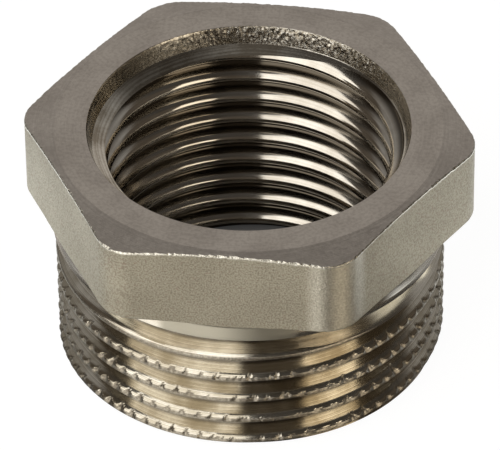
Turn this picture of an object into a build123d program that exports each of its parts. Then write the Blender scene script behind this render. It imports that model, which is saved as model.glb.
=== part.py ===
from build123d import *
from build123d.topology import SkipClean
import math
import os

# Hex head, in millimetres
across_flats = 27.0
head_height = 6.0
head_corner_radius = 2.8
face_ring_diameter = 26.0
face_bevel_angle = 11.5

# Body below the head
overall_height = 17.5
collar_diameter = 26.7
collar_height = 1.45
collar_blend = 0.45

# Male thread G3/4 and female thread G1/2, both cut as true helices
threads_per_inch = 14
thread_angle = 55.0
thread_depth_per_pitch = 0.640327
crest_flat_per_pitch = 1 / 6
male_major_diameter = 26.441
male_end_chamfer = 0.6
male_thread_start_angle = 255.0
female_major_diameter = 20.955
female_bore_diameter = 19.0
female_end_diameter = 21.2
female_thread_start_angle = 32.0

# Undercut that the male thread runs out into, under the collar
undercut_diameter = 23.8
undercut_width = 1.55
undercut_shoulder_drop = 0.15

# Mouth of the bore in the top face
mouth_diameter = 21.7
mouth_depth = 1.2
mouth_floor_diameter = 21.0
mouth_cone_angle = 136.0

# Threaded walls are drawn in a few patches a turn and grooves in many small facets a turn
patches_per_turn = 6
facets_per_turn = 32
cut_margin = 1.0
groove_overreach_per_pitch = 0.1
groove_turns_beyond_end = 0.5

# Sizes that follow from the ones above
inch = 25.4
pitch = inch / threads_per_inch
thread_depth = thread_depth_per_pitch * pitch
crest_flat = crest_flat_per_pitch * pitch
flank_slope = math.tan(math.radians(thread_angle / 2))
male_minor_diameter = male_major_diameter - 2 * thread_depth
head_bottom = overall_height - head_height
collar_bottom = head_bottom - collar_height
thread_top = collar_bottom - undercut_width
shank_height = collar_bottom - undercut_shoulder_drop


def turned(section):
    """A solid of revolution about Z, from a section with the radius along X and the height along Y."""
    return revolve(Plane.XZ * section, Axis.Z)


def polygon(*points):
    """A flat section from its corners, in order."""
    return make_face(Polyline(*points, close=True))


def round_wall(diameter, height, start_angle):
    """A standing cylinder whose wall is several equal patches."""
    step = 360 / patches_per_turn
    angles = [start_angle + index * step for index in range(patches_per_turn)]
    outline = [CenterArc((0, 0), diameter / 2, angle, step) for angle in angles]
    return extrude(make_face(outline), height, clean=False)


def open_corner(root_corner, rise, outward, upward):
    """The corner of a groove's section that lies past the crests, where two flat facets of its flank meet.

    The root corner is at azimuth 0; outward and upward are 1 or -1.
    """
    half_step = math.radians(180 / facets_per_turn)
    chord = 2 * root_corner.X * math.sin(half_step)
    across = Vector(-math.sin(half_step), math.cos(half_step), 0)
    middle = Vector(math.cos(half_step), math.sin(half_step), 0)
    facet_edge = across * chord + Vector(0, 0, rise)
    facet_normal = facet_edge.cross(middle * outward + Vector(0, 0, upward * flank_slope))
    joint = facet_normal.rotate(Axis.Z, -360 / facets_per_turn).cross(facet_normal)
    reach = thread_depth + groove_overreach_per_pitch * pitch
    return root_corner + joint * (outward * reach / joint.X)


def thread_groove(root_radius, outward, start_angle, top):
    """A right-hand helical groove in flat facets, from below the end face up to a height.

    Its section is open a little past the crests, and its centre passes the end face at the start angle.
    """
    rise = pitch / facets_per_turn
    low_root = Vector(root_radius, 0, -crest_flat / 2)
    high_root = Vector(root_radius, 0, crest_flat / 2)
    low_open = open_corner(low_root, rise, outward, -1)
    high_open = open_corner(high_root, rise, outward, 1)
    section = [low_root, low_open, high_open, high_root]
    first = -math.ceil(groove_turns_beyond_end * facets_per_turn)
    last = math.ceil(top / rise)
    rings = []
    for index in range(first, last + 1):
        angle = start_angle + index * 360 / facets_per_turn
        lift = Vector(0, 0, index * rise)
        rings.append([corner.rotate(Axis.Z, angle) + lift for corner in section])
    facets = []
    for lower, upper in zip(rings, rings[1:]):
        facets.append([lower[0], lower[1], upper[1], upper[0]])
        facets.append([lower[1], lower[2], upper[2]])
        facets.append([lower[1], upper[2], upper[1]])
        facets.append([lower[2], lower[3], upper[3], upper[2]])
        facets.append([lower[3], lower[0], upper[0], upper[3]])
    for ring in (rings[0], rings[-1]):
        facets.append(ring[:3])
        facets.append([ring[0], ring[2], ring[3]])
    return Solid(Shell([Face(Wire.make_polygon(points)) for points in facets]))


def head_and_collar():
    """Hexagon bar with rounded corners, turned to the bevelled face, the underside and the collar."""
    corners = RegularPolygon(across_flats / 2, 6, major_radius=False).vertices()
    bar = extrude(fillet(corners, head_corner_radius), overall_height - shank_height)
    reach = across_flats
    ring_radius = face_ring_diameter / 2
    bevel_drop = (reach - ring_radius) * math.tan(math.radians(face_bevel_angle))
    collar_radius = collar_diameter / 2
    envelope = turned(
        polygon(
            (0, shank_height),
            (undercut_diameter / 2, shank_height),
            (collar_radius, collar_bottom),
            (collar_radius, head_bottom - collar_blend),
            (collar_radius + collar_blend, head_bottom),
            (reach, head_bottom),
            (reach, overall_height - bevel_drop),
            (ring_radius, overall_height),
            (0, overall_height),
        )
    )
    return (Pos(Z=shank_height) * bar) & envelope


def undercut():
    """The ring of metal turned away between the thread and the collar."""
    major = male_major_diameter / 2
    floor = undercut_diameter / 2
    outside = major + cut_margin
    section = polygon(
        (floor, thread_top + (major - floor) * flank_slope),
        (major, thread_top),
        (outside, thread_top),
        (outside, shank_height + cut_margin),
        (floor, shank_height + cut_margin),
    )
    return turned(section)


def end_chamfer():
    """The ring of metal turned away at the thread's end."""
    major = male_major_diameter / 2
    outside = major + cut_margin
    section = polygon(
        (major - male_end_chamfer - cut_margin, -cut_margin),
        (outside, -cut_margin),
        (outside, male_end_chamfer + cut_margin),
    )
    return turned(section)


def bore_mouth():
    """The recess and cone in the top face."""
    floor = mouth_floor_diameter / 2
    floor_height = overall_height - mouth_depth
    cone_depth = floor / math.tan(math.radians(mouth_cone_angle / 2))
    section = polygon(
        (0, floor_height - cone_depth),
        (floor, floor_height),
        (mouth_diameter / 2, overall_height),
        (mouth_diameter / 2, overall_height + cut_margin),
        (0, overall_height + cut_margin),
    )
    return turned(section)


def bore_end():
    """The 45 degree countersink at the thread end of the bore."""
    radius = female_end_diameter / 2
    return turned(polygon((0, radius), (radius + cut_margin, -cut_margin), (0, -cut_margin)))


def threaded_shank():
    """The shank with its male thread, up to the collar."""
    wall = round_wall(male_major_diameter, shank_height, male_thread_start_angle)
    groove = thread_groove(male_minor_diameter / 2, 1, male_thread_start_angle, collar_bottom)
    return wall - undercut() - end_chamfer() - groove


def threaded_bore():
    """The metal taken out of the middle: the bore, its mouth, its countersunk end and its thread."""
    bore = round_wall(female_bore_diameter, overall_height, female_thread_start_angle)
    groove = thread_groove(female_major_diameter / 2, -1, female_thread_start_angle, overall_height)
    return [bore, bore_mouth(), bore_end(), groove]


def hex_bushing():
    """The whole bushing, with the patches of its threaded walls kept apart."""
    with SkipClean():
        return threaded_shank() + head_and_collar() - threaded_bore()


if __name__ == "__main__":
    os.makedirs("parts", exist_ok=True)
    export_step(hex_bushing(), "parts/hex_bushing.step")
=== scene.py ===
"""Hex bushing of nickel-plated brass: its visible surfaces, finishes, light and camera.

Sizes in the classes are in millimetres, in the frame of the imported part: Z up, the thread's end
face on the floor, one flat of the hexagon towards -Y.
"""

import logging
import math
from collections.abc import Iterator
from dataclasses import dataclass, field
from enum import Enum

import bmesh
import bpy
import numpy as np
from mathutils import Matrix, Vector


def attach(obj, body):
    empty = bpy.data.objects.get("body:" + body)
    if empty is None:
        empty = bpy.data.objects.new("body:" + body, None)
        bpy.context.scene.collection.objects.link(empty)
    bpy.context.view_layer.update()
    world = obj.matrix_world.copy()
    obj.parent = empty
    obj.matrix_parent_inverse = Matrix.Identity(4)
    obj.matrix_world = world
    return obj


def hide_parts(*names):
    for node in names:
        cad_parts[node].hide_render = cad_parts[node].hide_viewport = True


LOG = logging.getLogger("hex_bushing")
MM = 0.001
NODE = "hex_bushing"
BODY = "root"
MARK = "mark"
TURN = 2 * math.pi
PITCH = 25.4 / 14
CAMERA_AZIMUTH = 7.182  # how far round from -Y the camera stands, in degrees
END_RADIUS = 10.6  # the countersink's rim in the thread's end face
ROUNDED = 0.3  # where the middle of a rounded edge lies, as a share of its size
SCAN = 240  # how many heights are tried to find where two surfaces meet
TINY = 1e-6
MERGED = 1e-7  # points closer than this, in metres, become one
SLIVER = 2e-8  # edges shorter than this, in metres, are taken out

Number = float | int
Colour = tuple[float, float, float]
Step = tuple[float, float]


class Lay(Enum):
    """The way a surface's turning lines run."""

    NONE = "none"
    FACED = "rings on a flat face"
    TURNED = "rings on a round wall"


class Value:
    """A node's output socket that takes part in sums; each operation adds a Math node."""

    def __init__(self, graph: "Graph", socket: bpy.types.NodeSocket) -> None:
        """Keeps the socket and the graph that it belongs to."""
        self.graph = graph
        self.socket = socket

    def _math(self, operation: str, first: "Value | Number", second: "Value | Number") -> "Value":
        """Adds one Math node.

        Args:
            operation: the node's operation.
            first: the first operand.
            second: the second operand.

        Returns:
            The node's result.
        """
        return self.graph.add("ShaderNodeMath", {"operation": operation}, {0: first, 1: second})

    def __add__(self, other: "Value | Number") -> "Value":
        """This value plus another."""
        return self._math("ADD", self, other)

    __radd__ = __add__

    def __sub__(self, other: "Value | Number") -> "Value":
        """This value less another."""
        return self._math("SUBTRACT", self, other)

    def __rsub__(self, other: "Value | Number") -> "Value":
        """Another value less this one."""
        return self._math("SUBTRACT", other, self)

    def __mul__(self, other: "Value | Number") -> "Value":
        """This value times another."""
        return self._math("MULTIPLY", self, other)

    __rmul__ = __mul__

    def __truediv__(self, other: "Value | Number") -> "Value":
        """This value divided by another."""
        return self._math("DIVIDE", self, other)

    def __rtruediv__(self, other: "Value | Number") -> "Value":
        """Another value divided by this one."""
        return self._math("DIVIDE", other, self)

    def rise(self, low: float, high: float) -> "Value":
        """A smooth step of this value.

        Args:
            low: where the step leaves 0.
            high: where the step reaches 1; it may be the smaller of the two.

        Returns:
            A value from 0 to 1.
        """
        settings = {"interpolation_type": "SMOOTHSTEP"}
        if low > high:
            return 1 - self.graph.add("ShaderNodeMapRange", settings, {0: self, 1: high, 2: low})
        return self.graph.add("ShaderNodeMapRange", settings, {0: self, 1: low, 2: high})


class Graph:
    """The node tree of one material or world; add puts every node into it."""

    def __init__(self, tree: bpy.types.NodeTree) -> None:
        """Empties the tree that the nodes go into."""
        self.tree = tree
        tree.nodes.clear()

    def add(
        self,
        kind: str,
        settings: dict | None = None,
        inputs: dict | None = None,
        output: int | str = 0,
    ) -> Value:
        """Adds a node, sets it and links it.

        Args:
            kind: the node's type.
            settings: the node's own properties, set first.
            inputs: numbers, colours or linked values, by socket.
            output: the socket to return.

        Returns:
            The chosen output.
        """
        node = self.tree.nodes.new(kind)
        for name, setting in (settings or {}).items():
            setattr(node, name, setting)
        for key, given in (inputs or {}).items():
            if isinstance(given, Value):
                self.tree.links.new(given.socket, node.inputs[key])
            else:
                node.inputs[key].default_value = given
        if not node.outputs:
            return Value(self, None)
        return Value(self, node.outputs[output])

    def mix(self, factor: Value | Number, first: Value | Colour, second: Value | Colour) -> Value:
        """Mixes two colours.

        Args:
            factor: the share of the second colour.
            first: the colour at 0.
            second: the colour at 1.

        Returns:
            The mixed colour.
        """
        pair = [given if isinstance(given, Value) else (*given, 1.0) for given in (first, second)]
        inputs = {0: factor, 6: pair[0], 7: pair[1]}
        return self.add("ShaderNodeMix", {"data_type": "RGBA"}, inputs, 2)

    def noise(self, place: Value, per_mm: float, detail: float = 2.0, rough: float = 0.5) -> Value:
        """Cloudy noise.

        Args:
            place: the position in millimetres.
            per_mm: how many features lie along a millimetre.
            detail: how many finer layers are added.
            rough: how strong the finer layers are.

        Returns:
            A value about 0.5.
        """
        inputs = {"Vector": place, "Scale": per_mm, "Detail": detail, "Roughness": rough}
        return self.add("ShaderNodeTexNoise", None, inputs, "Fac")

    def part(self, vector: Value, axis: int) -> Value:
        """One component of a vector: 0, 1 or 2 for X, Y or Z."""
        return self.add("ShaderNodeSeparateXYZ", None, {0: vector}, axis)

    def from_axis(self, vector: Value) -> Value:
        """The length of a vector as seen along Z.

        Args:
            vector: the vector.

        Returns:
            Its length without its height.
        """
        pair = {0: vector, 1: (1, 1, 0)}
        level = self.add("ShaderNodeVectorMath", {"operation": "MULTIPLY"}, pair)
        return self.add("ShaderNodeVectorMath", {"operation": "LENGTH"}, {0: level}, "Value")

    def turned(self, vector: Value, degrees: float) -> Value:
        """A vector turned about Z."""
        inputs = {"Vector": vector, "Angle": math.radians(degrees)}
        return self.add("ShaderNodeVectorRotate", {"rotation_type": "Z_AXIS"}, inputs)

    def camera_ray(self) -> Value:
        """1 for what the camera itself sees, 0 for all other light."""
        return self.add("ShaderNodeLightPath", None, None, "Is Camera Ray")


@dataclass
class Look:
    """What a finish's shader is made of so far."""

    colour: Value
    roughness: Value
    bump: Value


@dataclass(frozen=True)
class Plating:
    """Nickel plate over a brass surface that some tool has left its marks on.

    Lengths are in millimetres; a depth is the height of the bump that the mark makes. A step
    gives the values at which a smooth step leaves 0 and reaches 1.
    """

    name: str
    colour: Colour = (0.66, 0.63, 0.58)
    shade: Colour = (0.40, 0.37, 0.33)
    roughness: float = 0.2
    roughness_swing: float = 0.08
    cloud_per_mm: float = 0.35
    cloud_share: float = 0.5
    cloud_step: Step = (0.35, 0.7)
    grain_per_mm: float = 5.0
    grain_depth: float = 0.002
    grain_step: Step = (0.4, 0.65)
    lay: Lay = Lay.TURNED
    line_spacing: float = 0.12
    line_depth: float = 0.002
    line_shade: float = 0.25
    line_step: Step = (0.3, 0.7)
    line_wander: float = 0.25
    wander_per_mm: float = 0.15
    fleck_colour: Colour = (0.42, 0.31, 0.25)
    fleck_share: float = 0.0
    fleck_per_mm: float = 4.0
    fleck_step: Step = (0.56, 0.68)
    scuffed_from: float | None = None
    scuff_blur: float = 0.03
    scratch_per_mm: float = 2.2
    scratch_share: float = 0.6
    scratch_depth: float = 0.03
    scratch_step: Step = (0.3, 0.7)
    # Painted shade: between these two radii the colour darkens to a dark brown, standing in for
    # the shade that falls in a thread's roots.
    painted_shade_radii: Step | None = None
    painted_shade_colour: Colour = (0.10, 0.085, 0.065)
    mark_colour: Colour = (0.12, 0.10, 0.075)
    burr_and_painted_light_colour: Colour = (0.36, 0.325, 0.26)
    mark_roughness: float = 0.32
    mark_depth: float = 0.0
    pit_per_mm: float = 6.5
    pit_step: Step = (0.4, 0.7)

    def material(self) -> bpy.types.Material:
        """Builds the material.

        Returns:
            The finished material.
        """
        made = bpy.data.materials.new(self.name)
        made.use_nodes = True
        graph = Graph(made.node_tree)
        place = self._place(graph)
        radius = graph.from_axis(place)

        cloud = graph.noise(place, self.cloud_per_mm, 3.0)
        grain = graph.noise(place, self.grain_per_mm, 3.0, 0.6)
        tone = cloud.rise(*self.cloud_step) * self.cloud_share
        tone = tone + grain.rise(*self.grain_step) * (1 - self.cloud_share)
        bump = (grain - 0.5) * self.grain_depth
        if self.lay is not Lay.NONE:
            across = radius if self.lay is Lay.FACED else graph.part(place, 2)
            lines = self._lines(graph, place, across)
            bump = bump + lines * self.line_depth
            tone = tone + lines * self.line_shade
        roughness = self.roughness + (cloud - 0.5) * (2 * self.roughness_swing)
        look = Look(graph.mix(tone, self.colour, self.shade), roughness, bump)
        if self.fleck_share > 0:
            spots = graph.noise(place, self.fleck_per_mm, 3.0, 0.65)
            flecks = spots.rise(*self.fleck_step) * self.fleck_share
            look.colour = graph.mix(flecks, look.colour, self.fleck_colour)
        if self.scuffed_from is not None:
            self._scuff(graph, place, radius, look)
        # Painted shade in the roots: the colour darkens by radius towards the dark colour.
        if self.painted_shade_radii is not None:
            look.colour = graph.mix(radius.rise(*self.painted_shade_radii), look.colour, self.painted_shade_colour)
        if self.mark_depth > 0:
            self._crush_and_painted_light(graph, place, look)

        inputs = {
            "Base Color": look.colour,
            "Metallic": 1.0,
            "Roughness": look.roughness,
            "Normal": graph.add("ShaderNodeBump", None, {"Distance": MM, "Height": look.bump}),
        }
        shader = graph.add("ShaderNodeBsdfPrincipled", None, inputs)
        graph.add("ShaderNodeOutputMaterial", None, {"Surface": shader})
        return made

    def _scuff(self, graph: Graph, place: Value, radius: Value, look: Look) -> None:
        """Scratches the surface outside a radius.

        Args:
            graph: the material's graph.
            place: the position in millimetres.
            radius: the distance from the axis.
            look: the look to change.
        """
        inner, outer = self.scuffed_from - self.scuff_blur, self.scuffed_from + self.scuff_blur
        scuffed = radius.rise(inner, outer)
        scratches = graph.noise(place, self.scratch_per_mm, 5.0, 0.75)
        share = scuffed * scratches.rise(*self.scratch_step) * self.scratch_share
        look.colour = graph.mix(share, look.colour, self.shade)
        look.bump = look.bump + scuffed * scratches * self.scratch_depth

    def _crush_and_painted_light(self, graph: Graph, place: Value, look: Look) -> None:
        """Pits the surface where the mesh is marked as crushed or worn; on the flats' corner the
        same mark paints a glint, and on the collar's front it paints shade.

        Args:
            graph: the material's graph.
            place: the position in millimetres.
            look: the look to change.
        """
        mark = graph.add("ShaderNodeAttribute", {"attribute_name": MARK}, None, "Fac")
        pits = graph.noise(place, self.pit_per_mm, 3.0, 0.7)
        pitted = graph.mix(pits.rise(*self.pit_step), self.mark_colour, self.burr_and_painted_light_colour)
        look.colour = graph.mix(mark, look.colour, pitted)
        look.bump = look.bump + mark * pits * self.mark_depth
        look.roughness = look.roughness + mark * (self.mark_roughness - self.roughness)

    @staticmethod
    def _place(graph: Graph) -> Value:
        """The position on the part, in millimetres.

        Args:
            graph: the material's graph.

        Returns:
            The position.
        """
        metres = graph.add("ShaderNodeTexCoord", None, None, "Object")
        scaled = {0: metres, "Scale": 1 / MM}
        return graph.add("ShaderNodeVectorMath", {"operation": "SCALE"}, scaled)

    def _lines(self, graph: Graph, place: Value, across: Value) -> Value:
        """Turning lines of uneven strength.

        Args:
            graph: the material's graph.
            place: the position in millimetres.
            across: the distance that the lines follow one another along.

        Returns:
            A value from about 0 to 1.
        """
        beside = across + graph.noise(place, self.wander_per_mm, 1.0) * self.line_wander
        coarse = {"W": beside, "Scale": 1 / self.line_spacing, "Detail": 1.5, "Roughness": 0.6}
        lines = graph.add("ShaderNodeTexNoise", {"noise_dimensions": "1D"}, coarse, "Fac")
        return lines.rise(*self.line_step)


def first_met(steps: np.ndarray, met: np.ndarray) -> np.ndarray:
    """The first of some steps at which a condition is met.

    Args:
        steps: the steps, as a column.
        met: whether the condition is met, by step and angle; the last step counts as met.

    Returns:
        A step for each angle.
    """
    met[-1, :] = True
    return steps[np.argmax(met, axis=0), 0]


@dataclass(frozen=True)
class Ripple:
    """Smooth seeded unevenness round the axis.

    It is the same after each full turn, unless it is stretched.
    """

    seed: int
    cells: int
    stretch: float = 1.0

    def along(self, angle: np.ndarray, row: int = 0) -> np.ndarray:
        """The unevenness at some angles.

        Args:
            angle: angles in radians.
            row: which of the independent patterns to use.

        Returns:
            Values from 0 to 1.
        """
        knots = np.random.default_rng(self.seed + 1009 * row).random(self.cells)
        place = (angle * self.stretch / TURN * self.cells) % self.cells
        first = np.floor(place).astype(int) % self.cells
        part = place - np.floor(place)
        part = part * part * (3 - 2 * part)
        return knots[first] * (1 - part) + knots[(first + 1) % self.cells] * part


class Skin:
    """Rows of points round the axis that are joined by quads, bottom row first."""

    def __init__(self, columns: int) -> None:
        """Spaces the columns evenly; the last one closes the turn.

        Args:
            columns: how many quads one turn has.
        """
        self.angle = np.linspace(0.0, TURN, columns + 1)
        self.rows: list[tuple[np.ndarray, ...]] = []

    def row(
        self,
        radius: np.ndarray | float,
        height: np.ndarray | float,
        mark: np.ndarray | float = 0.0,
    ) -> None:
        """Adds a row of points.

        Args:
            radius: the distance from the axis, for all columns or for each.
            height: the height, for all columns or for each.
            mark: how strongly the finish's mark applies, from 0 to 1, for all columns or for each:
                crushed or worn metal on most pieces, painted glint on the flats' corner and
                painted shade on the collar's front.
        """
        shape = self.angle.shape
        self.rows.append(tuple(np.broadcast_to(given, shape) for given in (radius, height, mark)))

    def piece(
        self, name: str, finish: Plating, inward: bool = False, crease: float = 32.0
    ) -> bpy.types.Object:
        """Joins the rows and makes the piece.

        Args:
            name: the piece's name.
            finish: its finish.
            inward: whether the surface faces the axis.
            crease: the angle in degrees from which an edge stays sharp.

        Returns:
            The piece, riding on the part.
        """
        radius, height, marks = (np.array(part) for part in zip(*self.rows))
        across = (radius * np.cos(self.angle), radius * np.sin(self.angle), height)
        points = np.stack(across, axis=-1) * MM
        rows, columns = radius.shape
        index = np.arange(rows * columns).reshape(rows, columns)
        corners = [index[:-1, :-1], index[:-1, 1:], index[1:, 1:], index[1:, :-1]]
        if inward:
            corners.reverse()
        quads = np.stack(corners, axis=-1).reshape(-1, 4)
        mesh = bpy.data.meshes.new(name)
        mesh.from_pydata(points.reshape(-1, 3).tolist(), [], quads.tolist())
        marked = mesh.attributes.new(MARK, "FLOAT", "POINT")
        marked.data.foreach_set("value", marks.astype(np.float32).ravel())
        shell = bmesh.new()
        shell.from_mesh(mesh)
        bmesh.ops.remove_doubles(shell, verts=shell.verts, dist=MERGED)
        bmesh.ops.dissolve_degenerate(shell, edges=shell.edges, dist=SLIVER)
        shell.to_mesh(mesh)
        shell.free()
        mesh.shade_smooth()
        mesh.set_sharp_from_angle(angle=math.radians(crease))
        mesh.materials.append(finish.material())
        made = bpy.data.objects.new(name, mesh)
        bpy.context.scene.collection.objects.link(made)
        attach(made, BODY)
        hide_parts(NODE)
        return made


@dataclass
class ThreadForm:
    """Right-hand parallel pipe thread of 55 degrees.

    The depth is averaged over the corner's length on both sides of a point, which rounds the
    crests and roots.
    """

    major_radius: float
    crest_azimuth: float
    crest_height: float
    pitch: float = PITCH
    depth: float = 0.640327 * PITCH
    land: float = PITCH / 6
    corner: float = 0.05
    slope: float = math.tan(math.radians(27.5))

    def phase(self, angle: np.ndarray, height: np.ndarray) -> np.ndarray:
        """Distance along the axis from the nearest outer crest, as a share of the pitch.

        Args:
            angle: angles in radians.
            height: heights.

        Returns:
            Values from -0.5 to 0.5.
        """
        turns = (angle - math.radians(self.crest_azimuth)) / TURN
        return (((height - self.crest_height) / self.pitch - turns + 0.5) % 1.0) - 0.5

    def sunk(self, share: np.ndarray) -> np.ndarray:
        """How far the surface lies under the major radius.

        Args:
            share: distance from the crest, as a share of the pitch.

        Returns:
            Depths from 0 to the thread's depth.
        """
        away = np.abs(share) * self.pitch
        area = self._area(away + self.corner) - self._area(away - self.corner)
        return area / (2 * self.corner)

    def _area(self, away: np.ndarray) -> np.ndarray:
        """The integral of the sharp-cornered depth from the crest's middle.

        Args:
            away: distances from the crest's middle.

        Returns:
            Areas in square millimetres.
        """
        side = np.sign(away)
        reach = np.abs(away)
        half = self.land / 2
        run = self.depth * self.slope
        over = reach - self.pitch / 2
        inside = np.minimum(reach, self.pitch / 2)
        on_flank = np.clip(inside - half, 0, run)
        on_root = np.maximum(inside - half - run, 0)
        area = on_flank**2 / (2 * self.slope) + on_root * self.depth
        return side * (area + np.maximum(over, 0) * self.depth)

    def rows(
        self, angle: np.ndarray, offsets: tuple[float, ...], top: float
    ) -> Iterator[np.ndarray]:
        """The heights of the rows that wind up the thread.

        Args:
            angle: angles in radians.
            offsets: the rows' distances from the crest's middle, which is 0 and included, as far
                as the root's middle, which is left out.
            top: the height that the rows reach at least.

        Yields:
            A row's height at each angle, from below the end face upwards.
        """
        rising = [offset / self.pitch for offset in offsets]
        shares = [*rising, 0.5, *(1 - share for share in reversed(rising[1:]))]
        start = self.crest_height - math.radians(self.crest_azimuth) / TURN * self.pitch
        lowest = math.floor(-start / self.pitch) - 2
        highest = math.ceil((top - start) / self.pitch) + 1
        for ridge in range(lowest, highest + 1):
            for share in shares:
                yield start + self.pitch * (ridge + share + angle / TURN)


@dataclass
class OutsideThread:
    """The outside thread, its end face and the notches rolled across its crests.

    A notch deepens upwards by notch_tilt, from notch_start under the crest's middle to the
    ridge's upper edge. A turn holds notch_lead of a notch more than the notches counted. They
    fade out over the last pitch below top_notch, and give way to burrs at worn_bearing.
    """

    form: ThreadForm = field(
        default_factory=lambda: ThreadForm(13.2205, -90.0, 8.24, corner=0.24)
    )
    offsets: tuple[float, ...] = (
        0.0, 0.06, 0.12, 0.18, 0.24, 0.3, 0.36, 0.42, 0.52, 0.64, 0.74, 0.84
    )
    end_chamfer: float = 0.6
    end_face_middle: float = 11.3
    undercut_start: float = 8.5
    undercut_floor: float = 11.9
    notches: int = 78
    notch_columns: int = 8
    notch_lead: float = 0.31
    notch_floor: float = 0.05
    notch_tilt: float = 0.62
    notch_start: float = 0.15
    notch_share: float = 0.7
    notch_round: float = 1.6
    notch_swell: tuple[float, float] = (0.75, 0.4)
    notch_ripple: Ripple = Ripple(5, 211, 1.03)
    top_notch: float = 8.3
    faintest_notch: float = 0.05
    burr_tilt: float = 0.4
    least_burr: float = 0.5
    burr_ripple: Ripple = Ripple(7, 620, 1.01)
    worn_bearing: float = -80.0
    worn_from: float = 0.93
    worn_within: float = 0.05
    worn_share: float = 0.6
    land_mark: float = 0.8
    notch_blend: float = 0.02
    finish: Plating = Plating(
        "rolled_thread",
        colour=(0.80, 0.76, 0.67),
        shade=(0.46, 0.41, 0.32),
        roughness=0.12,
        roughness_swing=0.03,
        cloud_share=0.9,
        grain_depth=0.0002,
        lay=Lay.FACED,
        line_spacing=0.07,
        line_depth=0.0008,
        line_shade=0.6,
        # Painted shade: the colour darkens towards the roots of the outside thread, below these
        # radii.
        painted_shade_radii=(12.4, 12.12),
        mark_depth=0.03,
    )

    def undercut_top(self) -> float:
        """The height at which the thread's last flank meets the undercut's floor."""
        depth = self.form.major_radius - self.undercut_floor
        return self.undercut_start + depth * self.form.slope

    def run_out(self, angle: np.ndarray) -> np.ndarray:
        """The height at which the thread runs out into the undercut's slope.

        Args:
            angle: angles in radians.

        Returns:
            A height for each angle.
        """
        top = self.undercut_top()
        steps = np.linspace(top, self.undercut_start, SCAN)[:, None]
        slope = self.form.major_radius - (steps - self.undercut_start) / self.form.slope
        thread = self.form.major_radius - self.form.sunk(self.form.phase(angle[None, :], steps))
        return first_met(steps, thread <= slope + TINY)

    def _notch(self, angle: np.ndarray, height: np.ndarray) -> np.ndarray:
        """How deep the notches go at each point.

        Args:
            angle: angles in radians.
            height: heights.

        Returns:
            Depths under the major radius.
        """
        turns = (angle - math.radians(self.form.crest_azimuth)) / TURN
        ridge = np.round((height - self.form.crest_height) / self.form.pitch - turns)
        along = turns + ridge
        crest = self.form.crest_height + self.form.pitch * along
        place = np.abs((along * (self.notches + self.notch_lead) + 0.5) % 1.0 - 0.5) * 2
        tooth = np.clip(1 - (place / self.notch_share) ** self.notch_round, 0, 1)
        least, swell = self.notch_swell
        uneven = least + swell * self.notch_ripple.along(along * TURN)
        burr = self.burr_ripple.along(along * TURN) ** 2
        facing = 0.5 + 0.5 * np.cos(angle - math.radians(self.worn_bearing))
        worn = np.clip((facing - self.worn_from) / self.worn_within, 0.0, 1.0)
        below = (self.top_notch - crest) / self.form.pitch
        fade = np.clip(below, self.faintest_notch, 1.0)
        rise = np.maximum(height - crest + self.notch_start, 0.0)
        notch = (self.notch_floor + self.notch_tilt * rise) * tooth * (1 - self.worn_share * worn)
        torn = self.burr_tilt * (self.least_burr + worn) * rise * burr
        return (notch * uneven + torn) * fade

    def build(self) -> bpy.types.Object:
        """Builds the thread.

        Returns:
            The piece.
        """
        form = self.form
        skin = Skin(self.notches * self.notch_columns)
        angle = skin.angle
        skin.row(END_RADIUS, 0.0)
        skin.row(self.end_face_middle, 0.0)
        limit = self.run_out(angle)
        for winding in form.rows(angle, self.offsets, self.undercut_start):
            height = np.clip(winding, 0.0, limit)
            phase = form.phase(angle, height)
            sunk = form.sunk(phase)
            notch = self._notch(angle, height)
            land = np.abs(phase) * form.pitch < form.land / 2
            crushed = np.clip((notch - sunk) / self.notch_blend, 0.0, 1.0)
            radius = form.major_radius - np.maximum(sunk, notch)
            chamfer = form.major_radius - self.end_chamfer + height
            skin.row(np.minimum(radius, chamfer), height, np.where(land, self.land_mark, crushed))
        return skin.piece("outside_thread", self.finish)


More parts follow.
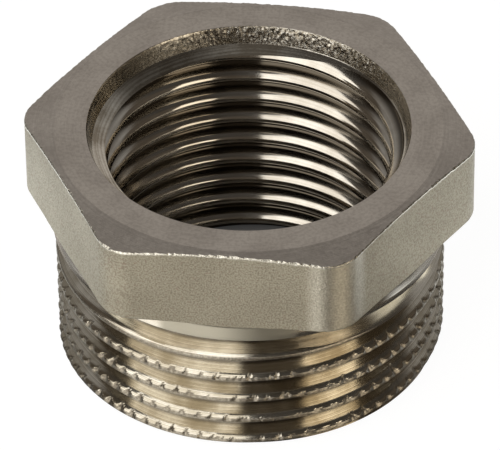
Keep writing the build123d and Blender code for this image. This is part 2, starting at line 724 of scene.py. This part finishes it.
@dataclass
class Neck:
    """The undercut, its shoulder, the collar and the underside of the head."""

    thread: OutsideThread
    head: "HexHead"
    undercut_radius: float = 11.9
    shoulder_height: float = 9.9
    collar_radius: float = 13.35
    collar_bottom: float = 10.05
    fillet: float = 0.45
    edge: float = 0.07
    root: float = 0.1
    # Painted shade: within 21 degrees of -Y the collar's front takes a darker colour, and a
    # rougher finish.
    painted_shade_end: float = math.cos(math.radians(21.0))
    painted_shade_blend: float = 0.25
    columns: int = 1080
    finish: Plating = Plating(
        "turned_neck",
        colour=(0.80, 0.76, 0.67),
        shade=(0.56, 0.51, 0.42),
        roughness=0.16,
        cloud_share=0.9,
        grain_depth=0.0003,
        line_spacing=0.1,
        line_depth=0.0008,
        line_shade=0.4,
        # The mark colour here is painted shade on the collar's front; the mark roughness makes
        # that front rougher.
        mark_colour=(0.45, 0.42, 0.34),
        burr_and_painted_light_colour=(0.45, 0.42, 0.34),
        mark_roughness=0.42,
        mark_depth=0.004,
    )

    def underside(self, radius: np.ndarray) -> np.ndarray:
        """The height of the head's underside and of its fillet into the collar.

        Args:
            radius: distances from the axis, from the collar outwards.

        Returns:
            Heights.
        """
        inward = np.clip(self.collar_radius + self.fillet - radius, 0, self.fillet)
        return self.head.bottom - self.fillet + np.sqrt(self.fillet**2 - inward**2)

    def build(self) -> bpy.types.Object:
        """Builds the neck.

        Returns:
            The piece.
        """
        skin = Skin(self.columns)
        angle = skin.angle
        form = self.thread.form
        start = self.thread.run_out(angle)
        top = self.thread.undercut_top()
        for part in (0.0, 0.33, 0.67, 1.0):
            height = start + (top - start) * part
            rise = height - self.thread.undercut_start
            skin.row(form.major_radius - rise / form.slope, height)
        corner = self.edge * ROUNDED
        inner = self.root * ROUNDED
        for radius, height in (
            (self.undercut_radius, (top + self.shoulder_height) / 2),
            (self.undercut_radius, self.shoulder_height - self.root),
            (self.undercut_radius + inner, self.shoulder_height - inner),
            (self.undercut_radius + self.root, self.shoulder_height + 0.01),
            (self.collar_radius - self.edge, self.collar_bottom - 0.01),
            (self.collar_radius - corner, self.collar_bottom + corner),
        ):
            skin.row(radius, height)
        # Painted shade: the collar's front, facing -Y, is marked to take the darker, rougher mark
        # finish.
        facing = np.cos(angle + math.pi / 2) - self.painted_shade_end
        painted_shade_front = np.clip(facing / (1 - self.painted_shade_end) / self.painted_shade_blend, 0, 1)
        skin.row(self.collar_radius, self.collar_bottom + self.edge, painted_shade_front)
        middle = (self.collar_bottom + self.head.bottom - self.fillet) / 2
        skin.row(self.collar_radius, middle, painted_shade_front)
        outline = self.head.outline(angle)
        for part in np.linspace(0, 1, 9):
            turned = math.pi / 2 * part
            radius = self.collar_radius + self.fillet * (1 - math.cos(turned))
            radius = np.minimum(radius, outline)
            skin.row(radius, self.underside(radius), painted_shade_front)
        outside = self.collar_radius + self.fillet
        for part in (0.5, 1.0):
            radius = outside + (outline - self.head.edge - outside) * part
            beyond = outline > outside + self.head.edge
            radius = np.where(beyond, radius, np.minimum(outside, outline))
            skin.row(radius, self.underside(radius))
        return skin.piece("collar", self.finish)


@dataclass
class HexHead:
    """The hexagon bar's six flats and rounded corners, and the turned face on top.

    The wear is the least width and the swing of the broken top edge. It reaches down by
    wear_drop of its width; wear_bulge is where its middle lies, in from the flat and up.
    """

    across_flats: float = 27.0
    corner_radius: float = 2.8
    bottom: float = 11.5
    top: float = 17.5
    ring_radius: float = 13.0
    bevel_slope: float = math.tan(math.radians(11.5))
    mouth_radius: float = 10.85
    edge: float = 0.06
    lip: float = 0.03
    wear: tuple[float, float] = (0.03, 0.14)
    wear_drop: float = 0.9
    wear_bulge: tuple[float, float] = (0.35, 0.45)
    coarse_share: float = 0.6
    fine_wear: Ripple = Ripple(11, 520)
    coarse_wear: Ripple = Ripple(12, 90)
    # Painted glint: round this corner's bearing the flats take part of the bright, smoother mark
    # finish.
    painted_glint_bearing: float = -60.0
    painted_glint_from: float = 0.988
    painted_glint_within: float = 0.006
    painted_glint_share: float = 0.35
    columns: int = 1440
    flats: Plating = Plating(
        "drawn_flats",
        colour=(0.53, 0.495, 0.395),
        shade=(0.33, 0.295, 0.23),
        roughness=0.58,
        roughness_swing=0.04,
        cloud_per_mm=0.25,
        cloud_share=0.15,
        grain_per_mm=8.0,
        grain_depth=0.03,
        lay=Lay.NONE,
        fleck_share=0.4,
        mark_colour=(0.55, 0.52, 0.44),
        # The bright colour of the worn top edge, and of the painted glint on the corner near -60
        # degrees.
        burr_and_painted_light_colour=(0.92, 0.89, 0.80),
        mark_roughness=0.2,
        mark_depth=0.02,
    )
    face: Plating = Plating(
        "turned_face",
        colour=(0.58, 0.55, 0.51),
        shade=(0.42, 0.39, 0.36),
        roughness=0.34,
        roughness_swing=0.05,
        grain_per_mm=4.0,
        grain_depth=0.004,
        lay=Lay.FACED,
        line_spacing=0.11,
        line_depth=0.002,
        scuffed_from=13.0,
    )

    def outline(self, angle: np.ndarray) -> np.ndarray:
        """The hexagon's radius, with its corners rounded.

        Args:
            angle: angles in radians.

        Returns:
            Distances from the axis.
        """
        sector = math.pi / 3
        apothem = self.across_flats / 2
        local = np.abs((angle + sector / 2 + math.pi / 2) % sector - sector / 2)
        reach = (apothem - self.corner_radius) / math.cos(sector / 2)
        from_corner = sector / 2 - local
        straight = apothem / np.cos(local)
        inside = np.maximum(self.corner_radius**2 - (reach * np.sin(from_corner)) ** 2, 0)
        rounded = reach * np.cos(from_corner) + np.sqrt(inside)
        flat_end = (apothem - self.corner_radius) * math.tan(sector / 2)
        return np.where(apothem * np.tan(local) <= flat_end, straight, rounded)

    def face_height(self, radius: np.ndarray | float) -> np.ndarray:
        """The height of the top face, flat inside the ring and bevelled outside it.

        Args:
            radius: distances from the axis.

        Returns:
            Heights.
        """
        return self.top - np.maximum(np.asarray(radius) - self.ring_radius, 0) * self.bevel_slope

    def build_flats(self, neck: Neck) -> bpy.types.Object:
        """Builds the six flats and their corners.

        Args:
            neck: the neck below the head.

        Returns:
            The piece.
        """
        skin = Skin(self.columns)
        outline = self.outline(skin.angle)
        low = neck.underside(outline)
        wear = self._wear(skin.angle)
        high = self.face_height(outline - wear) - wear * self.wear_drop
        beyond = outline > neck.collar_radius + neck.fillet + self.edge
        corner = self.edge * ROUNDED
        skin.row(np.where(beyond, outline - self.edge, outline), low)
        skin.row(np.where(beyond, outline - corner, outline), low + corner)
        skin.row(outline, low + self.edge)
        # Painted glint on the corner near -60 degrees: part of the bright mark colour and its
        # lower roughness.
        facing = np.cos(skin.angle - math.radians(self.painted_glint_bearing)) - self.painted_glint_from
        painted_glint = np.clip(facing / self.painted_glint_within, 0, 1) * self.painted_glint_share
        for part in (0.02, 0.25, 0.5, 0.75, 0.98):
            height = low + self.edge + (high - low - self.edge) * part
            skin.row(outline, height, painted_glint)
        skin.row(outline, high, 1.0)
        inward, upward = self.wear_bulge
        skin.row(outline - wear * inward, high + wear * upward, 1.0)
        skin.row(outline - wear, self.face_height(outline - wear), 1.0)
        return skin.piece("hex_flats", self.flats)

    def _wear(self, angle: np.ndarray) -> np.ndarray:
        """The uneven break of the head's top edge.

        Args:
            angle: angles in radians.

        Returns:
            The width of the broken edge.
        """
        least, swing = self.wear
        coarse = 1 - self.coarse_share + self.coarse_share * self.coarse_wear.along(angle)
        return least + swing * self.fine_wear.along(angle) * coarse

    def build_face(self) -> bpy.types.Object:
        """Builds the turned top face and its bevel.

        Returns:
            The piece.
        """
        skin = Skin(self.columns)
        outline = self.outline(skin.angle)
        outer = outline - self._wear(skin.angle)
        for part in (0.0, 0.04, 0.3, 0.6, 0.9):
            radius = outer + (self.ring_radius - outer) * part
            skin.row(radius, self.face_height(radius))
        skin.row(self.ring_radius, self.top)
        for radius in np.linspace(self.ring_radius - 0.15, self.mouth_radius + self.lip, 6):
            skin.row(radius, self.top)
        return skin.piece("top_face", self.face, crease=4.0)


@dataclass
class Bore:
    """The mouth of the bore and the inside thread.

    The tool tore the mouth's wall, most of all at torn_bearing.
    """

    form: ThreadForm = field(
        default_factory=lambda: ThreadForm(
            10.4775, 90.0, 15.714 + PITCH / 2, depth=0.9775, corner=0.28
        )
    )
    mouth_radius: float = 10.85
    mouth_floor_radius: float = 10.5
    mouth_depth: float = 1.2
    cone_slope: float = math.tan(math.radians(68.0))
    offsets: tuple[float, ...] = (0.0, 0.1, 0.2, 0.3, 0.42, 0.52, 0.6, 0.68, 0.76, 0.84)
    torn_bearing: float = 72.0
    dent: float = 0.1
    least_dent: float = 0.08
    least_pitted: float = 0.1
    pitted_rise: float = 1.3
    dent_ripple: Ripple = Ripple(31, 520)
    rim: float = 0.02
    rim_ripple: Ripple = Ripple(33, 420)
    lip: float = 0.03
    top: float = 17.5
    mouth_columns: int = 1080
    thread_columns: int = 540
    wall: Plating = Plating(
        "bore_mouth",
        colour=(0.76, 0.73, 0.66),
        shade=(0.34, 0.30, 0.24),
        roughness=0.2,
        roughness_swing=0.06,
        cloud_share=0.8,
        grain_depth=0.0005,
        line_spacing=0.1,
        line_depth=0.001,
        line_shade=0.5,
        mark_colour=(0.30, 0.26, 0.20),
        burr_and_painted_light_colour=(0.76, 0.73, 0.66),
        mark_roughness=0.2,
        mark_depth=0.03,
    )
    tapped: Plating = Plating(
        "tapped_thread",
        colour=(0.68, 0.645, 0.58),
        shade=(0.50, 0.455, 0.39),
        roughness=0.12,
        roughness_swing=0.03,
        cloud_share=0.9,
        grain_depth=0.0002,
        lay=Lay.FACED,
        line_spacing=0.1,
        line_depth=0.0008,
        # Painted shade: the colour darkens towards the roots of the inside thread, above these
        # radii.
        painted_shade_radii=(9.8, 10.25),
    )

    def cone(self, height: np.ndarray) -> np.ndarray:
        """The radius of the cone under the mouth.

        Args:
            height: heights.

        Returns:
            Distances from the axis.
        """
        return self.mouth_floor_radius + (height - (self.top - self.mouth_depth)) * self.cone_slope

    def lead_in(self, angle: np.ndarray) -> np.ndarray:
        """The height at which the thread starts under the cone.

        Args:
            angle: angles in radians.

        Returns:
            A height for each angle.
        """
        floor = self.top - self.mouth_depth
        crest = self.form.major_radius - self.form.depth
        lowest = floor - (self.mouth_floor_radius - crest) / self.cone_slope
        steps = np.linspace(floor, lowest, SCAN)[:, None]
        thread = self.form.major_radius - self._ridge(angle[None, :], steps)
        return first_met(steps, thread >= self.cone(steps) - TINY)

    def _ridge(self, angle: np.ndarray, height: np.ndarray) -> np.ndarray:
        """How far the thread stands in from the major radius.

        Args:
            angle: angles in radians.
            height: heights.

        Returns:
            Depths from 0 to the thread's depth.
        """
        return self.form.sunk(self.form.phase(angle, height))

    def build_mouth(self) -> bpy.types.Object:
        """Builds the sunk mouth's wall and the cone.

        Returns:
            The piece.
        """
        skin = Skin(self.mouth_columns)
        angle = skin.angle
        floor = self.top - self.mouth_depth
        start = self.lead_in(angle)
        for part in (0.0, 0.3, 0.6, 0.9):
            height = start + (floor - start) * part
            skin.row(self.cone(height), height)
        torn = np.maximum(np.cos(angle - math.radians(self.torn_bearing)), 0) ** 2
        spread = self.dent * (self.least_dent + (1 - self.least_dent) * torn)
        pitted = np.minimum(self.least_pitted + self.pitted_rise * torn, 1)
        for number, part in enumerate(np.linspace(0.0, 0.92, 9)):
            dents = spread * (self.dent_ripple.along(angle, number) - 0.5)
            radius = self.mouth_floor_radius + (self.mouth_radius - self.mouth_floor_radius) * part
            skin.row(radius + dents * min(1, 2 * part), floor + self.mouth_depth * part, pitted)
        uneven = self.rim * self.rim_ripple.along(angle)
        skin.row(self.mouth_radius + uneven, self.top - self.lip, pitted)
        skin.row(self.mouth_radius + self.lip, self.top)
        return skin.piece("bore_mouth", self.wall, inward=True)

    def build_thread(self) -> bpy.types.Object:
        """Builds the inside thread down to its countersunk end.

        Returns:
            The piece.
        """
        skin = Skin(self.thread_columns)
        angle = skin.angle
        limit = self.lead_in(angle)
        for winding in self.form.rows(angle, self.offsets, self.top):
            height = np.clip(winding, 0.0, limit)
            radius = self.form.major_radius - self._ridge(angle, height)
            skin.row(np.maximum(radius, END_RADIUS - height), height)
        return skin.piece("inside_thread", self.tapped, inward=True)


@dataclass
class PhotoCamera:
    """The camera, at the place and angle of the photograph.

    It was fitted to the part's outline there. Its axis passes the pivot, the middle of the top
    face, at the two shifts. Angles are in degrees; nearest and farthest are in metres.
    """

    distance: float = 373.252
    elevation: float = 39.978
    roll: float = -0.687
    shift_right: float = -0.079
    shift_up: float = 6.621
    pivot_height: float = 17.5
    focal_pixels: float = 5588.18
    image_width: float = 500.0
    sensor: float = 36.0
    nearest: float = 0.01
    farthest: float = 20.0

    def build(self) -> None:
        """Makes the camera and sets it as the scene's own."""
        data = bpy.data.cameras.new("camera")
        data.sensor_fit = "HORIZONTAL"
        data.sensor_width = self.sensor
        data.lens = self.focal_pixels / self.image_width * self.sensor
        data.clip_start = self.nearest
        data.clip_end = self.farthest
        rise, tilt = math.radians(self.elevation), math.radians(self.roll)
        back = Vector((0.0, -math.cos(rise), math.sin(rise)))
        right = Vector((1.0, 0.0, 0.0))
        up = back.cross(right)
        rolled_right = right * math.cos(tilt) + up * math.sin(tilt)
        rolled_up = up * math.cos(tilt) - right * math.sin(tilt)
        centre = back * self.distance - rolled_right * self.shift_right - rolled_up * self.shift_up
        turned = Matrix.Rotation(math.radians(CAMERA_AZIMUTH), 4, "Z")
        lifted = Matrix.Translation(Vector((0.0, 0.0, self.pivot_height * MM)))
        axes = Matrix((rolled_right, rolled_up, back)).transposed().to_4x4()
        made = bpy.data.objects.new("camera", data)
        made.matrix_world = lifted @ turned @ Matrix.Translation(centre * MM) @ axes
        bpy.context.scene.collection.objects.link(made)
        bpy.context.scene.camera = made


@dataclass(frozen=True)
class Softbox:
    """An upright lamp that faces the part.

    Left and right are bearings in degrees to the right of the camera, seen from the part's axis;
    base and top are heights over the floor in metres.
    """

    name: str
    left: float
    right: float
    base: float
    top: float
    radiance: float
    colour: Colour
    distance: float = 0.7

    def build(self, turned: Matrix) -> None:
        """Stands the lamp up.

        Args:
            turned: the turn from the camera's side of the part to the part's frame.
        """
        data = bpy.data.lights.new(self.name, "AREA")
        data.shape = "RECTANGLE"
        data.size = 2 * self.distance * math.tan(math.radians(self.right - self.left) / 2)
        data.size_y = self.top - self.base
        data.energy = self.radiance * math.pi * data.size * data.size_y
        data.color = self.colour
        made = bpy.data.objects.new(self.name, data)
        bearing = math.radians(self.left + self.right) / 2
        away = Vector((math.sin(bearing), -math.cos(bearing), 0.0))
        across = Vector((math.cos(bearing), math.sin(bearing), 0.0))
        axes = Matrix((across, Vector((0.0, 0.0, 1.0)), away)).transposed().to_4x4()
        middle = away * self.distance + Vector((0.0, 0.0, (self.base + self.top) / 2))
        made.matrix_world = turned @ Matrix.Translation(middle) @ axes
        made.visible_camera = False
        bpy.context.scene.collection.objects.link(made)


@dataclass
class Studio:
    """The floor, the room's light and the lamps.

    The floor shows white to the camera and mirrors the lamps for the part. A bright card lies
    on it beside the part. A step gives where a light's edge starts and ends: for card_inner and
    card_outer in metres from the axis, for bearings as a cosine, 1 at the camera's side and -1
    behind the part, and for elevations as a sine. The floor's size is in metres.
    """

    floor_size: float = 6.0
    floor_roughness: float = 0.05
    floor_columns: int = 96
    floor_drop: float = 0.02
    shaded_radius: float = 12.0
    # Painted shade: the board under the part is darker than the floor, standing in for the shade
    # seen through the bore.
    board_painted_shade_colour: Colour = (0.36, 0.34, 0.31)
    board_glow: float = 0.03
    sheet_colour: Colour = (0.92, 0.92, 0.92)
    sheet_shade: Colour = (0.14, 0.14, 0.14)
    sheet_glow: float = 0.95
    card_colour: Colour = (0.96, 1.0, 1.03)
    card_radiance: float = 1.85
    card_inner: Step = (0.022, 0.025)
    card_outer: Step = (0.040, 0.034)
    card_front: Step = (0.5, 0.3)
    card_rear: Step = (-0.9, -0.7)
    front: Colour = (0.09, 0.075, 0.06)
    rear: Colour = (0.28, 0.27, 0.26)
    rear_bearing: Step = (-0.36, -0.5)
    overhead: Colour = (0.06, 0.055, 0.05)
    overhead_from: Step = (0.69, 0.76)
    zenith: Colour = (0.22, 0.21, 0.20)
    zenith_from: Step = (0.96, 0.99)
    wall: Colour = (0.47, 0.435, 0.40)
    wall_bearing: Step = (-0.8, -0.9)
    wall_top: Step = (0.96, 0.90)
    softboxes: tuple[Softbox, ...] = (
        Softbox("front_left", -74.0, -8.0, 0.0, 2.0, 1.6, (1.0, 0.98, 0.94)),
        Softbox("left", -92.0, -74.0, 0.42, 2.0, 1.6, (1.0, 0.98, 0.94)),
        Softbox("front_right", 29.0, 60.0, 0.0, 0.62, 1.7, (1.0, 0.89, 0.72)),
    )

    def build(self) -> None:
        """Builds the floor, the world and the lamps."""
        self._floor()
        self._world()
        turned = Matrix.Rotation(math.radians(CAMERA_AZIMUTH), 4, "Z")
        for softbox in self.softboxes:
            softbox.build(turned)

    def _floor(self) -> None:
        """Lays a glossy pale floor, with a dark matt board under the part as painted shade."""
        columns = self.floor_columns
        ring = [TURN * index / columns for index in range(columns)]
        points = [
            (radius * math.cos(angle), radius * math.sin(angle), 0.0)
            for radius in (self.shaded_radius * MM, self.floor_size / 2)
            for angle in ring
        ]
        faces = [tuple(range(columns))]
        for index in range(columns):
            follow = (index + 1) % columns
            faces.append((index, columns + index, columns + follow, follow))
        mesh = bpy.data.meshes.new("floor")
        mesh.from_pydata(points, [], faces)
        made = bpy.data.objects.new("floor", mesh)
        made.location.z = -self.floor_drop * MM
        bpy.context.scene.collection.objects.link(made)
        mesh.materials.append(self._painted_shade_board())
        mesh.materials.append(self._sheet())
        for polygon in mesh.polygons:
            polygon.material_index = min(polygon.index, 1)

    def _painted_shade_board(self) -> bpy.types.Material:
        """Makes the dark matt board under the part, which is seen through the bore: a dark sheet
        that stands for the shade there, as painted shade, with a faint glow that only the camera
        sees.

        Returns:
            The finished material.
        """
        paint = bpy.data.materials.new("painted_shade_matt_board")
        paint.use_nodes = True
        graph = Graph(paint.node_tree)
        matt = graph.add("ShaderNodeBsdfDiffuse", None, {"Color": (*self.board_painted_shade_colour, 1.0)})
        strength = graph.camera_ray() * self.board_glow
        glow = graph.add("ShaderNodeEmission", None, {"Strength": strength})
        shader = graph.add("ShaderNodeAddShader", None, {0: matt, 1: glow})
        graph.add("ShaderNodeOutputMaterial", None, {"Surface": shader})
        return paint

    def _sheet(self) -> bpy.types.Material:
        """Makes the glossy sheet round the part, with the card that lies on it.

        Returns:
            The finished material.
        """
        paint = bpy.data.materials.new("pale_sheet")
        paint.use_nodes = True
        graph = Graph(paint.node_tree)
        polished = {"Color": (*self.sheet_colour, 1.0), "Roughness": self.floor_roughness}
        gloss = graph.add("ShaderNodeBsdfGlossy", None, polished)
        place = graph.add("ShaderNodeTexCoord", None, None, "Object")
        reach = graph.from_axis(place)
        bearing = graph.part(graph.turned(place, -CAMERA_AZIMUTH), 1) * -1 / reach
        ring = reach.rise(*self.card_inner) * reach.rise(*self.card_outer)
        beside = ring * bearing.rise(*self.card_front) * bearing.rise(*self.card_rear)
        pale = {"Color": (*self.card_colour, 1.0), "Strength": self.card_radiance}
        card = graph.add("ShaderNodeEmission", None, pale)
        mirror = graph.add("ShaderNodeMixShader", None, {0: beside, 1: gloss, 2: card})
        faint = graph.add("ShaderNodeBsdfDiffuse", None, {"Color": (*self.sheet_shade, 1.0)})
        glow = graph.add("ShaderNodeEmission", None, {"Strength": self.sheet_glow})
        white = graph.add("ShaderNodeAddShader", None, {0: faint, 1: glow})
        seen = graph.camera_ray()
        shader = graph.add("ShaderNodeMixShader", None, {0: seen, 1: mirror, 2: white})
        graph.add("ShaderNodeOutputMaterial", None, {"Surface": shader})
        return paint

    def _world(self) -> None:
        """Gives the room's light: dark in front and overhead, paler behind and at the zenith."""
        world = bpy.data.worlds.new("studio")
        bpy.context.scene.world = world
        world.use_nodes = True
        graph = Graph(world.node_tree)
        facing = graph.add("ShaderNodeTexCoord", None, None, "Generated")
        facing = graph.turned(facing, -CAMERA_AZIMUTH)
        bearing = graph.part(facing, 1) * -1 / graph.from_axis(facing)
        up = graph.part(facing, 2)
        room = graph.mix(bearing.rise(*self.rear_bearing), self.front, self.rear)
        room = graph.mix(up.rise(*self.overhead_from), room, self.overhead)
        room = graph.mix(up.rise(*self.zenith_from), room, self.zenith)
        behind = bearing.rise(*self.wall_bearing) * up.rise(*self.wall_top)
        room = graph.mix(behind, room, self.wall)
        colour = graph.mix(graph.camera_ray(), room, (1.0, 1.0, 1.0))
        shader = graph.add("ShaderNodeBackground", None, {"Color": colour, "Strength": 1.0})
        graph.add("ShaderNodeOutputWorld", None, {"Surface": shader})


def main() -> None:
    """Builds the part, the studio and the camera, and reports each piece."""
    logging.basicConfig(level=logging.INFO, format="%(message)s")
    bpy.context.scene.view_settings.view_transform = "Standard"
    head = HexHead()
    thread = OutsideThread()
    neck = Neck(thread, head)
    bore = Bore()
    pieces = (
        thread.build(),
        neck.build(),
        head.build_flats(neck),
        head.build_face(),
        bore.build_mouth(),
        bore.build_thread(),
    )
    for piece in pieces:
        LOG.info("%s: %d faces", piece.name, len(piece.data.polygons))
    Studio().build()
    PhotoCamera().build()


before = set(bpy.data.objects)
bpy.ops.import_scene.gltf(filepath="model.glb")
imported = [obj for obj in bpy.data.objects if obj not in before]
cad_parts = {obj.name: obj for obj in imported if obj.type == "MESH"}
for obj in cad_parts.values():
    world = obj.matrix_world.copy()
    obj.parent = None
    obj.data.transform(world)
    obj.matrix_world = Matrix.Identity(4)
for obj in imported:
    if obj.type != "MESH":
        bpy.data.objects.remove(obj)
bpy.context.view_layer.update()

if __name__ == "__main__":
    main()
